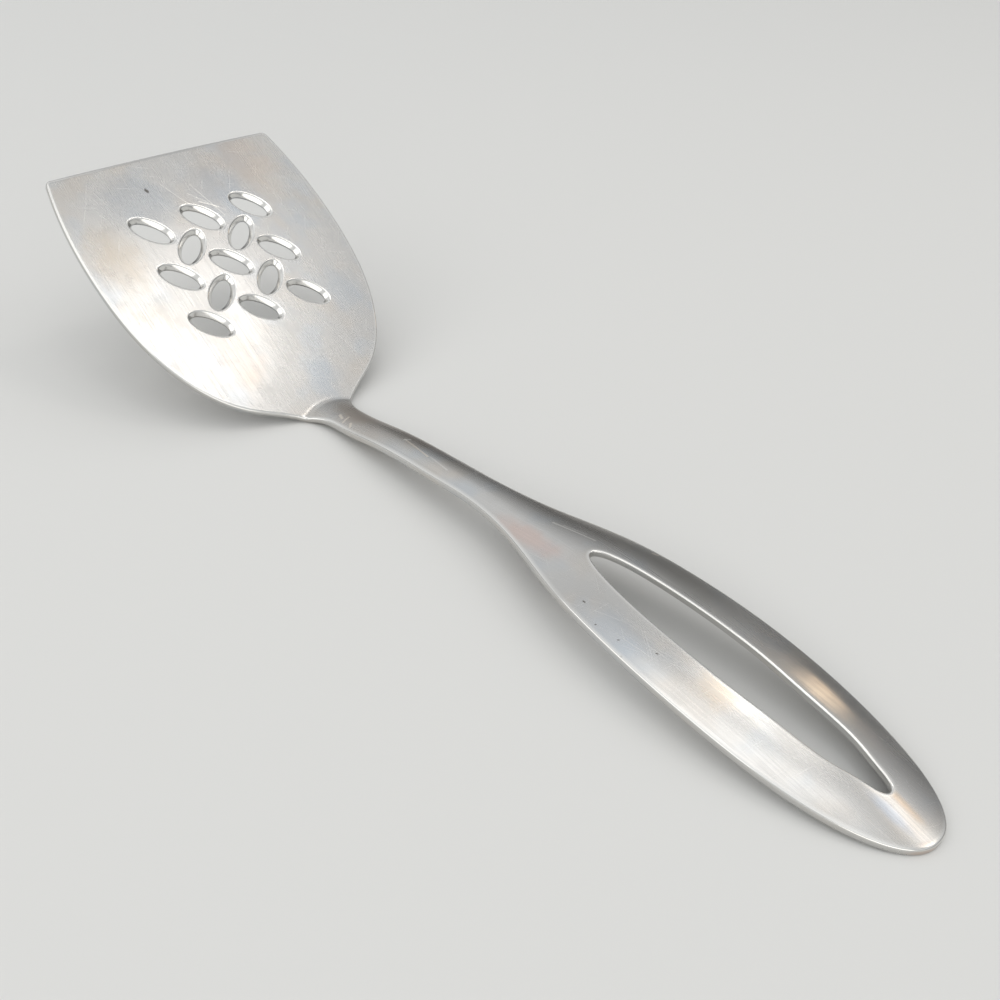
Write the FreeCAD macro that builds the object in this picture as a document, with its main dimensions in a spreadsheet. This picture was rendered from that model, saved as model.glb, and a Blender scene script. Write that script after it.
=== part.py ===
"""Serving spatula, stamped and bent from one piece of stainless steel sheet.

The frame: X runs from the blade to the tail of the handle, Y across, Z up, in
millimetres. The spatula rests on the table at Z = 0, on the bend between its blade and
its neck and on its tail, with the blade rising in front. It is shaped with the origin
under the bend, and moved at the end so that the origin lies under its middle.

The sheet is the space between an upper and a lower envelope. Each envelope is the
plane of the blade on one side of the bend and the crowned band of the neck and
handle on the other. The outline, the slot and the holes are then cut from it.
"""
import FreeCAD
import Part
import math
import os

from FreeCAD import Placement, Rotation, Vector

# Driving dimensions, in millimetres and degrees
SIZES = {
    # The sheet and the bend between the blade and the neck
    "sheet_thickness": 1.8,
    "bend_radius": 2.5,
    "blade_tilt": 32.0,
    "heel_height": 3.2,
    # Blade, measured along its own plane from the bend towards the front edge
    "blade_length": 93.7,
    "blade_width": 82.2,
    "blade_front_width": 74.2,
    "widest_station": 60.1,
    "shoulder_station": 21.7,
    "shoulder_inset": 6.9,
    "haunch_station": 6.4,
    "haunch_inset": 18.5,
    "neck_root_start": 0.7,
    "neck_root_start_flare": 6.05,
    "neck_root_middle": 5.5,
    "neck_root_middle_flare": 1.2,
    "neck_root_end": 10.5,
    "front_corner_radius": 1.8,
    "front_edge_bow": 0.7,
    "front_bevel_width": 1.3,
    "front_bevel_depth": 0.7,
    # Drain holes, oval and countersunk
    "hole_grid_station": 51.8,
    "hole_pitch": 17.0,
    "hole_length": 11.4,
    "hole_width": 5.0,
    "hole_turn": 45.0,
    "countersink_width": 1.2,
    "countersink_depth": 1.3,
    # Neck and handle along X from the bend, and the runs from each station to the next.
    # They are measured back from the tip, so the neck takes up a change of the length
    "handle_length": 199.2,
    "neck_start_station": 12.0,
    "neck_late_run": 6.0,
    "throat_run": 16.7,
    "flare_run": 19.8,
    "grip_front_run": 17.5,
    "grip_run": 24.0,
    "grip_rear_run": 24.0,
    "tail_run": 16.0,
    "tip_run": 13.2,
    # Where the neck's rise is set, as shares of the neck's own length
    "neck_rise_share": 0.36,
    "neck_middle_share": 0.76,
    # Widths of the neck and handle in plan
    "neck_width": 10.1,
    "neck_end_width": 10.8,
    "throat_width": 16.4,
    "grip_width": 36.3,
    "flare_inset": 4.25,
    "grip_front_inset": 1.35,
    "tail_fullness": 2.2,
    # Slot through the handle, widest where the grip is
    "slot_width": 12.9,
    "slot_front_run": 41.4,
    "slot_front_fullness": 2.1,
    "slot_end_margin": 12.4,
    "slot_tip_run": 4.4,
    "slot_tip_inset": 3.8,
    "slot_taper_run": 6.8,
    "slot_taper_inset": 2.0,
    "slot_shoulder_run": 14.3,
    "slot_shoulder_inset": 0.8,
    # Height of the crown's ridge above the table, from the bend to the tip
    "bend_ridge_height": 2.92,
    "neck_start_height": 4.8,
    "neck_rise_height": 7.93,
    "neck_middle_height": 10.27,
    "neck_late_height": 11.67,
    "throat_height": 12.72,
    "flare_height": 13.86,
    "grip_front_height": 13.15,
    "grip_height": 11.28,
    "grip_rear_height": 8.04,
    "tail_height": 5.3,
    "tip_height": 1.7,
    # Radius of the crown across the band
    "bend_crown_radius": 23.0,
    "neck_crown_radius": 12.0,
    "neck_late_crown_radius": 14.3,
    "throat_crown_radius": 20.0,
    "flare_crown_radius": 32.5,
    "grip_front_crown_radius": 45.0,
    "grip_crown_radius": 50.0,
    "grip_rear_crown_radius": 44.5,
    "tail_crown_radius": 34.5,
    # Broken edges on the upper side and on the underside
    "edge_radius": 0.6,
    "underside_edge_radius": 0.3,
}
# Stations and widths that follow from the driving dimensions
DERIVED = {
    "tail_station": "handle_length - tip_run",
    "grip_rear_station": "tail_station - tail_run",
    "grip_station": "grip_rear_station - grip_rear_run",
    "grip_front_station": "grip_station - grip_run",
    "flare_station": "grip_front_station - grip_front_run",
    "throat_station": "flare_station - flare_run",
    "neck_late_station": "throat_station - throat_run",
    "neck_end_station": "neck_late_station - neck_late_run",
    "neck_length": "neck_end_station - neck_start_station",
    "neck_rise_station": "neck_start_station + neck_rise_share * neck_length",
    "neck_middle_station": "neck_start_station + neck_middle_share * neck_length",
    "slot_front_station": "grip_station - slot_front_run",
    "slot_end_station": "handle_length - slot_end_margin",
    "slot_tip_station": "slot_end_station - slot_tip_run",
    "slot_taper_station": "slot_tip_station - slot_taper_run",
    "slot_shoulder_station": "slot_taper_station - slot_shoulder_run",
    "shoulder_width": "blade_width - 2 * shoulder_inset",
    "haunch_width": "blade_width - 2 * haunch_inset",
    "neck_root_start_width": "neck_width + 2 * neck_root_start_flare",
    "neck_root_middle_width": "neck_width + 2 * neck_root_middle_flare",
    "flare_width": "grip_width - 2 * flare_inset",
    "grip_front_width": "grip_width - 2 * grip_front_inset",
    "slot_shoulder_width": "slot_width - 2 * slot_shoulder_inset",
    "slot_taper_width": "slot_width - 2 * slot_taper_inset",
    "slot_tip_width": "slot_width - 2 * slot_tip_inset",
}
# Working allowances that are no size of the spatula
REACH = 150.0
HALF_SPAN = 60.0
RUN_OUT = 12.0
OVERLAP = 1.5
CLEAR = 1.0
CROWN_HALF_ANGLE = 45.0
OVAL_STEPS = 8
TOUCH = 0.02
SHARP = 0.6

NODE = "spatula"
SHEET = "sizes"


def bind(item, paths):
    """Bind properties of an object to formulas of the sheet's aliases."""
    for path, formula in paths.items():
        item.setExpression(path, formula)
    return item


def add(doc, kind, name, **values):
    """Add an object to the document and set its plain properties."""
    item = doc.addObject(kind, name)
    for key, value in values.items():
        setattr(item, key, value)
    return item


def add_sizes(doc):
    """Write the dimensions into the sheet, one row each, the derived ones as formulas."""
    sheet = doc.addObject("Spreadsheet::Sheet", SHEET)
    values = [(name, str(value)) for name, value in SIZES.items()]
    values += [(name, f"={formula}") for name, formula in DERIVED.items()]
    for row, (name, value) in enumerate(values, start=1):
        sheet.set(f"A{row}", name)
        sheet.set(f"B{row}", value)
        sheet.setAlias(f"B{row}", name)
    doc.recompute()
    return sheet


def place_on_blade(item):
    """Move an object from the flat drawing plane to the tilted plane of the blade."""
    item.Placement = Placement(Vector(0, 0, 0), Rotation(Vector(0, 1, 0), 1))
    return bind(item, {
        "Placement.Rotation.Angle": f"{SHEET}.blade_tilt",
        "Placement.Base.z": f"{SHEET}.heel_height",
    })


def spline(points, start, end):
    """Smooth curve through points, with a direction at each end."""
    curve = Part.BSplineCurve()
    curve.interpolate(Points=points, InitialTangent=start, FinalTangent=end)
    return curve.toShape()


def oval_quarter(widest, tip, fullness):
    """Quarter of an oval about the X axis, from its widest point to its tip.

    With the length from the widest point to the tip and the half width, the oval has
    (x / length) ** fullness + (y / half width) ** fullness = 1.
    """
    length = tip - widest.x
    points = [widest]
    for step in range(1, OVAL_STEPS):
        turn = math.pi / 2 * step / OVAL_STEPS
        forward = length * math.sin(turn) ** (2 / fullness)
        outward = widest.y * math.cos(turn) ** (2 / fullness)
        points.append(Vector(widest.x + forward, outward, 0))
    points.append(Vector(tip, 0, 0))
    return spline(points, Vector(math.copysign(1, length), 0, 0), Vector(0, -1, 0))


def symmetric_face(half_edges, crossing_edges):
    """Face inside edges that are mirrored at the X axis and edges that cross it."""
    mirrored = [edge.mirror(Vector(0, 0, 0), Vector(0, 1, 0)) for edge in half_edges]
    return Part.Face(Part.Wire(Part.__sortEdges__(half_edges + mirrored + crossing_edges)))


def across(point):
    """The point's mirror image on the other side of the X axis."""
    return Vector(point.x, -point.y, point.z)


def blade_side(corner, widest):
    """Side of the blade, an arc that runs along X at the blade's widest station.

    It bows outwards to a narrower front, inwards to a wider one, and is straight where
    the two widths are the same.
    """
    run = widest.x - corner.x
    drop = widest.y - corner.y
    if abs(drop) < TOUCH:
        return Part.makeLine(corner, widest)
    half_chord = math.hypot(run, drop) / 2
    middle = widest - Vector(1, math.tan(math.atan2(drop, run) / 2), 0) * half_chord
    return Part.Arc(corner, middle, widest).toShape()


def blade_outline(sheet):
    """Outline of the blade and the neck's root, with the front edge at negative X."""
    front = Vector(-sheet.blade_length, 0, 0)
    corner = Vector(front.x + sheet.front_edge_bow, sheet.blade_front_width / 2, 0)
    front_edge = Part.Arc(across(corner), front, corner).toShape()
    widest = Vector(-sheet.widest_station, sheet.blade_width / 2, 0)
    side = blade_side(corner, widest)
    neck_start = Vector(sheet.neck_root_end, sheet.neck_width / 2, 0)
    flank = spline(
        [
            widest,
            Vector(-sheet.shoulder_station, sheet.shoulder_width / 2, 0),
            Vector(-sheet.haunch_station, sheet.haunch_width / 2, 0),
            Vector(sheet.neck_root_start, sheet.neck_root_start_width / 2, 0),
            Vector(sheet.neck_root_middle, sheet.neck_root_middle_width / 2, 0),
            neck_start,
        ],
        Vector(1, 0, 0),
        Vector(1, 0, 0),
    )
    neck_end = Vector(sheet.neck_start_station + RUN_OUT, neck_start.y, 0)
    neck_side = Part.makeLine(neck_start, neck_end)
    closing = Part.makeLine(neck_end, across(neck_end))
    return symmetric_face([side, flank, neck_side], [front_edge, closing])


def handle_outline(sheet):
    """Outline of the neck and handle in plan, to the tip of the tail."""
    start = Vector(sheet.neck_start_station, sheet.neck_width / 2, 0)
    widest = Vector(sheet.grip_station, sheet.grip_width / 2, 0)
    neck_end = Vector(sheet.neck_end_station, sheet.neck_end_width / 2, 0)
    neck_side = Part.makeLine(start, neck_end)
    side = spline(
        [
            neck_end,
            Vector(sheet.throat_station, sheet.throat_width / 2, 0),
            Vector(sheet.flare_station, sheet.flare_width / 2, 0),
            Vector(sheet.grip_front_station, sheet.grip_front_width / 2, 0),
            widest,
        ],
        neck_end - start,
        Vector(1, 0, 0),
    )
    tail = oval_quarter(widest, sheet.handle_length, sheet.tail_fullness)
    return symmetric_face([neck_side, side, tail], [Part.makeLine(across(start), start)])


def slot_outline(sheet):
    """Outline of the slot in plan, round in front and tapered to a round end."""
    widest = Vector(sheet.grip_station, sheet.slot_width / 2, 0)
    front = oval_quarter(widest, sheet.slot_front_station, sheet.slot_front_fullness)
    rear = spline(
        [
            widest,
            Vector(sheet.slot_shoulder_station, sheet.slot_shoulder_width / 2, 0),
            Vector(sheet.slot_taper_station, sheet.slot_taper_width / 2, 0),
            Vector(sheet.slot_tip_station, sheet.slot_tip_width / 2, 0),
            Vector(sheet.slot_end_station, 0, 0),
        ],
        Vector(1, 0, 0),
        Vector(0, -1, 0),
    )
    return symmetric_face([front, rear], [])


def section_formulas():
    """Formulas of the station, ridge height and crown radius of each section.

    The band runs on past the bend and past the tip, each time on a straight line.
    """
    names = [
        ("neck_start_station", "neck_start_height", "neck_crown_radius"),
        ("neck_rise_station", "neck_rise_height", "neck_crown_radius"),
        ("neck_middle_station", "neck_middle_height", "neck_crown_radius"),
        ("neck_late_station", "neck_late_height", "neck_late_crown_radius"),
        ("throat_station", "throat_height", "throat_crown_radius"),
        ("flare_station", "flare_height", "flare_crown_radius"),
        ("grip_front_station", "grip_front_height", "grip_front_crown_radius"),
        ("grip_station", "grip_height", "grip_crown_radius"),
        ("grip_rear_station", "grip_rear_height", "grip_rear_crown_radius"),
        ("tail_station", "tail_height", "tail_crown_radius"),
        ("handle_length", "tip_height", "tail_crown_radius"),
    ]
    rows = [tuple(f"{SHEET}.{name}" for name in row) for row in names]
    bend = ("0", f"{SHEET}.bend_ridge_height", f"{SHEET}.bend_crown_radius")
    rise = f"({rows[0][1]} - {bend[1]}) / {rows[0][0]}"
    fall = f"({rows[-2][1]} - {rows[-1][1]}) / ({rows[-1][0]} - {rows[-2][0]})"
    first = (f"-{RUN_OUT}", f"{bend[1]} - {RUN_OUT} * {rise}", bend[2])
    last = (f"{rows[-1][0]} + {RUN_OUT}", f"{rows[-1][1]} - {RUN_OUT} * {fall}", rows[-1][2])
    return [first, bend] + rows + [last]


def add_band_space(doc, name, depth):
    """Space above the crowned band, at a depth under its upper side."""
    sections = []
    for number, (station, height, radius) in enumerate(section_formulas(), start=1):
        arc = add(
            doc, "Part::Circle", f"{name}_section_{number}",
            Angle1=90 - CROWN_HALF_ANGLE, Angle2=90 + CROWN_HALF_ANGLE,
        )
        arc.Placement = Placement(Vector(0, 0, 0), Rotation(Vector(1, 1, 1), 120))
        bind(arc, {
            "Radius": f"{radius} - {depth}",
            "Placement.Base.x": station,
            "Placement.Base.z": f"{height} - {radius}",
        })
        sections.append(arc)
    band = add(doc, "Part::Loft", f"{name}_surface", Sections=sections, Solid=False, Ruled=False)
    return add(
        doc, "Part::Extrusion", f"{name}_space", Base=band, DirMode="Custom",
        Dir=Vector(0, 0, 1), LengthFwd=REACH, Solid=True,
    )


def add_blade_space(doc, name, depth):
    """Space above the blade's plane, at a depth under its upper side."""
    box = add(doc, "Part::Box", name, Length=2 * REACH, Width=2 * HALF_SPAN, Height=REACH)
    box.Placement = Placement(Vector(0, -HALF_SPAN, 0), Rotation(Vector(0, 1, 0), 1))
    tilt = f"{SHEET}.blade_tilt"
    back = 2 * RUN_OUT
    return bind(box, {
        "Placement.Rotation.Angle": tilt,
        "Placement.Base.x": f"-{back} * cos({tilt}) - {depth} * sin({tilt})",
        "Placement.Base.z": f"{SHEET}.heel_height + {back} * sin({tilt}) - {depth} * cos({tilt})",
    })


def add_envelope(doc, name, depth, radius):
    """Space above one side of the bent sheet, with the bend rounded."""
    band = add_band_space(doc, f"{name}_band", depth)
    blade = add_blade_space(doc, f"{name}_blade_space", depth)
    space = add(doc, "Part::MultiCommon", f"{name}_space", Shapes=[blade, band])
    doc.recompute()
    crease = []
    for number, edge in enumerate(space.Shape.Edges, start=1):
        box = edge.BoundBox
        if box.YMin < -CLEAR and box.YMax > CLEAR and abs(box.XMin) < RUN_OUT - CLEAR:
            crease.append((number, radius, radius))
    return add(doc, "Part::Fillet", f"{name}_envelope", Base=space, Edges=crease)


def add_formed_sheet(doc, sheet):
    """Bent and crowned sheet, before its outline is cut."""
    thickness = f"{SHEET}.sheet_thickness"
    upper = add_envelope(doc, "upper", "0", sheet.bend_radius)
    lower = add_envelope(doc, "lower", thickness, sheet.bend_radius + sheet.sheet_thickness)
    strip = add(doc, "Part::Cut", "bent_strip", Base=lower, Tool=upper)
    slab = add(doc, "Part::Box", "blade_slab", Width=2 * HALF_SPAN)
    slab.Placement = Placement(Vector(0, -HALF_SPAN, 0), Rotation(Vector(0, 1, 0), 1))
    tilt = f"{SHEET}.blade_tilt"
    far = f"({SHEET}.blade_length + {CLEAR})"
    bind(slab, {
        "Length": f"{far} - {OVERLAP}",
        "Height": thickness,
        "Placement.Rotation.Angle": tilt,
        "Placement.Base.x": f"-{far} * cos({tilt}) - {thickness} * sin({tilt})",
        "Placement.Base.z": f"{SHEET}.heel_height + {far} * sin({tilt}) - {thickness} * cos({tilt})",
    })
    return add(doc, "Part::MultiFuse", "formed_sheet", Shapes=[strip, slab], Refine=True)


def add_prism(doc, name, face):
    """Tall prism over an outline, on both sides of the drawing plane."""
    outline = doc.addObject("Part::Feature", f"{name}_outline")
    outline.Shape = face
    return add(
        doc, "Part::Extrusion", name, Base=outline, DirMode="Custom", Dir=Vector(0, 0, 1),
        LengthFwd=HALF_SPAN, LengthRev=HALF_SPAN, Solid=True,
    )


def add_trimmed_sheet(doc, sheet, formed):
    """Formed sheet cut to the outlines of the blade, the handle and the slot."""
    blade = add_prism(doc, "blade_prism", blade_outline(sheet))
    doc.recompute()
    corners = []
    for number, edge in enumerate(blade.Shape.Edges, start=1):
        box = edge.BoundBox
        if box.ZLength > HALF_SPAN and box.XMax < sheet.front_edge_bow + TOUCH - sheet.blade_length:
            corners.append((number, sheet.front_corner_radius, sheet.front_corner_radius))
    rounded = place_on_blade(add(doc, "Part::Fillet", "blade_cutter", Base=blade, Edges=corners))
    handle = add_prism(doc, "handle_cutter", handle_outline(sheet))
    cutter = add(doc, "Part::MultiFuse", "outline_cutter", Shapes=[rounded, handle])
    trimmed = add(doc, "Part::MultiCommon", "trimmed_sheet", Shapes=[formed, cutter], Refine=True)
    slot = add_prism(doc, "slot_cutter", slot_outline(sheet))
    return add(doc, "Part::Cut", "slotted_sheet", Base=trimmed, Tool=slot, Refine=True)


def sharp_edges(item, radius):
    """Edges between a wall and one side of the sheet, each with its radius.

    The upper side has upward normals and the underside has downward ones, while the
    walls stand square to the sheet.
    """
    shape = item.Shape
    found = []
    for number, edge in enumerate(shape.Edges, start=1):
        point = edge.valueAt((edge.FirstParameter + edge.LastParameter) / 2)
        normals = [face.normalAt(*face.Surface.parameter(point))
                   for face in shape.ancestorsOfType(edge, Part.Face)]
        if len(normals) != 2 or abs(normals[0].dot(normals[1])) > SHARP:
            continue
        upper = max(normal.z for normal in normals) > SHARP
        size = radius["upper"] if upper else radius["under"]
        found.append((number, size, size))
    return found


def add_edges(doc, sheet, base):
    """Round the edges of the cut sheet and grind the bevel on the blade's front."""
    doc.recompute()
    radius = {"upper": sheet.edge_radius, "under": sheet.underside_edge_radius}
    edges = sharp_edges(base, radius)
    rounded = add(doc, "Part::Fillet", "rounded_sheet", Base=base, Edges=edges)
    grinder = add(
        doc, "Part::Box", "front_grinder", Length=RUN_OUT, Width=2 * HALF_SPAN, Height=RUN_OUT,
    )
    grinder.Placement = Placement(Vector(0, -HALF_SPAN, 0), Rotation(Vector(0, 1, 0), 1))
    tilt = f"{SHEET}.blade_tilt"
    slant = f"({tilt} * 1 deg - atan({SHEET}.front_bevel_depth / {SHEET}.front_bevel_width))"
    start = f"({SHEET}.blade_length - {SHEET}.front_bevel_width)"
    bind(grinder, {
        "Placement.Rotation.Angle": slant,
        "Placement.Base.x": f"-{start} * cos({tilt}) - {RUN_OUT} * cos({slant})",
        "Placement.Base.z": f"{SHEET}.heel_height + {start} * sin({tilt}) + {RUN_OUT} * sin({slant})",
    })
    return add(doc, "Part::Cut", "bevelled_sheet", Base=rounded, Tool=grinder)


def hole_centres():
    """Columns and rows of the holes in pitches, and the side that each leans to.

    Nine holes stand on a square grid and four, leaning the other way, between them.
    """
    grid = [(column, row, 1) for column in (-1, 0, 1) for row in (-1, 0, 1)]
    between = [(column, row, -1) for column in (-0.5, 0.5) for row in (-0.5, 0.5)]
    return grid + between


def add_oval(doc, name, centre, grow, height):
    """Oval of a hole in the blade's plane, grown all round and set at a height."""
    column, row, lean = centre
    oval = doc.addObject("Part::Ellipse", name)
    oval.Placement = Placement(Vector(0, 0, 0), Rotation(Vector(0, 0, 1), 1))
    return bind(oval, {
        "MajorRadius": f"{SHEET}.hole_length / 2 + {grow}",
        "MinorRadius": f"{SHEET}.hole_width / 2 + {grow}",
        "Placement.Rotation.Angle": f"{SHEET}.hole_turn * {lean}",
        "Placement.Base.x": f"{column} * {SHEET}.hole_pitch - {SHEET}.hole_grid_station",
        "Placement.Base.y": f"{row} * {SHEET}.hole_pitch",
        "Placement.Base.z": height,
    })


def add_holes(doc, base):
    """Cut the drain holes, each an oval opening with a countersink around it.

    The cone's upper oval lies as far above the sheet as its lower one lies under the
    surface, so that it has the countersink's width at the surface itself.
    """
    depth = f"{SHEET}.countersink_depth"
    width = f"{SHEET}.countersink_width"
    tools = []
    for number, centre in enumerate(hole_centres(), start=1):
        floor = add_oval(doc, f"hole_{number}_oval", centre, "0", f"-{depth}")
        mouth = add_oval(doc, f"hole_{number}_mouth", centre, f"2 * {width}", depth)
        cone = add(
            doc, "Part::Loft", f"hole_{number}_cone", Sections=[floor, mouth],
            Solid=True, Ruled=True,
        )
        bore = add(
            doc, "Part::Extrusion", f"hole_{number}_bore", Base=floor, DirMode="Custom",
            Dir=Vector(0, 0, 1), Solid=True,
        )
        bind(bore, {"LengthFwd": depth, "LengthRev": f"{SHEET}.sheet_thickness"})
        tools += [cone, bore]
    cutter = place_on_blade(add(doc, "Part::MultiFuse", "hole_cutter", Shapes=tools))
    return add(doc, "Part::Cut", "drained_sheet", Base=base, Tool=cutter, Refine=True)


def centre_over_origin(item):
    """Move the finished sheet so that the origin lies under the middle of its box."""
    box = item.Shape.optimalBoundingBox(False, False)
    item.Placement = Placement(Vector(-box.Center.x, 0, 0), Rotation())


def check(doc):
    """Stop if an object of the document has failed or has no valid shape."""
    for item in doc.Objects:
        if {"Invalid", "Error"} & set(item.State):
            raise RuntimeError(f"{item.Name} has failed: {item.State}")
        shape = getattr(item, "Shape", None)
        if shape is not None and (shape.isNull() or not shape.isValid()):
            raise RuntimeError(f"{item.Name} has no valid shape")


def build():
    """Make the document, check it and write the node."""
    doc = FreeCAD.newDocument("serving_spatula")
    sheet = add_sizes(doc)
    formed = add_formed_sheet(doc, sheet)
    cut = add_trimmed_sheet(doc, sheet, formed)
    finished = add_edges(doc, sheet, cut)
    node = add_holes(doc, finished)
    node.Label = NODE
    doc.recompute()
    centre_over_origin(node)
    doc.recompute()
    check(doc)
    if len(node.Shape.Solids) != 1:
        raise RuntimeError(f"{NODE} has {len(node.Shape.Solids)} solids")
    os.makedirs("parts", exist_ok=True)
    node.Shape.Solids[0].exportStep(f"parts/{NODE}.step")


build()
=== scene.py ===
"""Serving spatula, stamped and bent from one satin stainless sheet, in a plain studio.

Lengths in the classes are millimetres: X runs from the bend between the blade and the
neck towards the tail, Y across, Z up from the table. The meshes are in metres, in the
frame of the part, whose origin lies under the middle of the spatula.
"""
import logging
import math
from dataclasses import dataclass, field
from enum import Enum
from typing import Sequence

import bpy
import numpy as np
from mathutils import Matrix, Vector
from mathutils.geometry import delaunay_2d_cdt


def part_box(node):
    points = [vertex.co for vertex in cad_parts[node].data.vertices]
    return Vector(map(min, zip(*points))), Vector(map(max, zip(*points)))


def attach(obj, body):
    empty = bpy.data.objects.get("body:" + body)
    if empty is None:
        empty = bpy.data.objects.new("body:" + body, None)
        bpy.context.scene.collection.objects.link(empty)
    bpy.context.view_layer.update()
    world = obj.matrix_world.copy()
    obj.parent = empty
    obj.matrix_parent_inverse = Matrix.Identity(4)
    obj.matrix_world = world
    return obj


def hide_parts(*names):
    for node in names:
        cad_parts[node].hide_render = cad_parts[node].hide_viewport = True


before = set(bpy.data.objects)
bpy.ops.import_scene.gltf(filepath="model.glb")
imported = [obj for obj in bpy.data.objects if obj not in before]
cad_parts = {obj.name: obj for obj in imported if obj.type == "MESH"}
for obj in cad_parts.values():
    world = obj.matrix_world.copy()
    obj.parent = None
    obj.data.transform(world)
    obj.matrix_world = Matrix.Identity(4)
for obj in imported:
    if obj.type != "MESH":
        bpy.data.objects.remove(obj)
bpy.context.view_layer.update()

LOG = logging.getLogger("serving_spatula")
MM = 0.001
MICROMETRE = 0.000001
MERGE_DISTANCE = 1e-7
BLOCK_SIZE = 2000
NODE = "spatula"
MATH = "ShaderNodeMath"
VECTOR_MATH = "ShaderNodeVectorMath"
Socket = bpy.types.NodeSocket


class Side(Enum):
    """The two faces of the sheet."""

    UPPER = "upper"
    LOWER = "lower"


def linear_colour(code: str) -> tuple[float, float, float, float]:
    """Turn an sRGB hex code into a linear colour.

    Args:
        code: the colour, such as "#c8c6c2".

    Returns:
        Linear red, green, blue and an alpha of 1.
    """
    srgb = np.array([int(code[i:i + 2], 16) for i in (1, 3, 5)]) / 255.0
    linear = np.where(srgb <= 0.04045, srgb / 12.92, ((srgb + 0.055) / 1.055) ** 2.4)
    return (*linear.tolist(), 1.0)


def add_object(name: str, data: bpy.types.ID) -> bpy.types.Object:
    """Make an object of a mesh, a lamp or a camera, and put it in the scene.

    Args:
        name: name of the object.
        data: what it shows.

    Returns:
        The object.
    """
    made = bpy.data.objects.new(name, data)
    bpy.context.scene.collection.objects.link(made)
    return made


def spline_through(
    knots: np.ndarray, values: np.ndarray, start: np.ndarray, end: np.ndarray, at: np.ndarray
) -> np.ndarray:
    """Cubic spline through values, with a given slope at each end.

    The slopes at the knots solve the usual three-term rows of a twice differentiable
    cubic, and each span is the cubic Hermite form of its two values and slopes.

    Args:
        knots: rising parameters, one a value.
        values: values, one row a knot.
        start: slope at the first knot.
        end: slope at the last knot.
        at: parameters to work the curve out at.

    Returns:
        The curve's values at those parameters.
    """
    values = np.asarray(values, float).reshape(len(knots), -1)
    span = np.diff(knots)
    rise = np.diff(values, axis=0) / span[:, None]
    count = len(knots)
    rows = np.eye(count)
    known = np.empty_like(values)
    known[0], known[-1] = start, end
    inner = np.arange(1, count - 1)
    rows[inner, inner - 1] = span[1:]
    rows[inner, inner] = 2 * (span[1:] + span[:-1])
    rows[inner, inner + 1] = span[:-1]
    known[1:-1] = 3 * (span[1:, None] * rise[:-1] + span[:-1, None] * rise[1:])
    slope = np.linalg.solve(rows, known)
    at = np.clip(at, knots[0], knots[-1])
    cell = np.clip(np.searchsorted(knots, at, side="right") - 1, 0, count - 2)
    width = span[cell][:, None]
    share = ((at - knots[cell]) / span[cell])[:, None]
    return (
        (1 + 2 * share) * (1 - share) ** 2 * values[cell]
        + share * (1 - share) ** 2 * width * slope[cell]
        + share ** 2 * (3 - 2 * share) * values[cell + 1]
        - share ** 2 * (1 - share) * width * slope[cell + 1]
    )


def plan_spline(
    points: Sequence[tuple[float, float]], start: tuple[float, float],
    end: tuple[float, float], step: float,
) -> np.ndarray:
    """Plan curve through points, run by the lengths of the chords between them.

    Args:
        points: plan points in order.
        start: direction at the first point.
        end: direction at the last point.
        step: rough distance between the samples.

    Returns:
        Samples along the curve, without the last point.
    """
    values = np.array(points, float)
    knots = np.concatenate([[0.0], np.cumsum(np.linalg.norm(np.diff(values, axis=0), axis=1))])
    at = np.linspace(0, knots[-1], max(int(knots[-1] / step), 4) + 1)[:-1]
    unit_start = np.array(start) / np.linalg.norm(start)
    unit_end = np.array(end) / np.linalg.norm(end)
    return spline_through(knots, values, unit_start, unit_end, at)


def plan_arc(centre: np.ndarray, start: np.ndarray, end: np.ndarray, count: int) -> np.ndarray:
    """Circular arc about a centre, the short way round, without its last point.

    Args:
        centre: centre of the circle.
        start: first point, which gives the radius.
        end: point towards which the arc ends.
        count: number of points.

    Returns:
        Points in plan.
    """
    spread = start - centre, end - centre
    first, last = (math.atan2(v[1], v[0]) for v in spread)
    turn = (last - first + math.pi) % (2 * math.pi) - math.pi
    angle = first + turn * np.linspace(0, 1, count + 1)[:-1]
    radius = np.linalg.norm(spread[0])
    return centre + radius * np.stack([np.cos(angle), np.sin(angle)], axis=1)


def oval_quarter(widest: tuple[float, float], tip: float, fullness: float,
                 count: int) -> np.ndarray:
    """Quarter of a full oval, from its widest point towards its tip on the X axis.

    The length and the half width, each raised to the fullness as shares, add up to 1.

    Args:
        widest: plan point where the oval is widest.
        tip: X of the tip.
        fullness: the power of the oval, 2 for an ellipse.
        count: number of spans.

    Returns:
        Samples from the widest point on, without the tip.
    """
    turn = math.pi / 2 * np.linspace(0, 1, count + 1)[:-1]
    along = widest[0] + (tip - widest[0]) * np.sin(turn) ** (2 / fullness)
    return np.stack([along, widest[1] * np.cos(turn) ** (2 / fullness)], axis=1)


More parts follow.
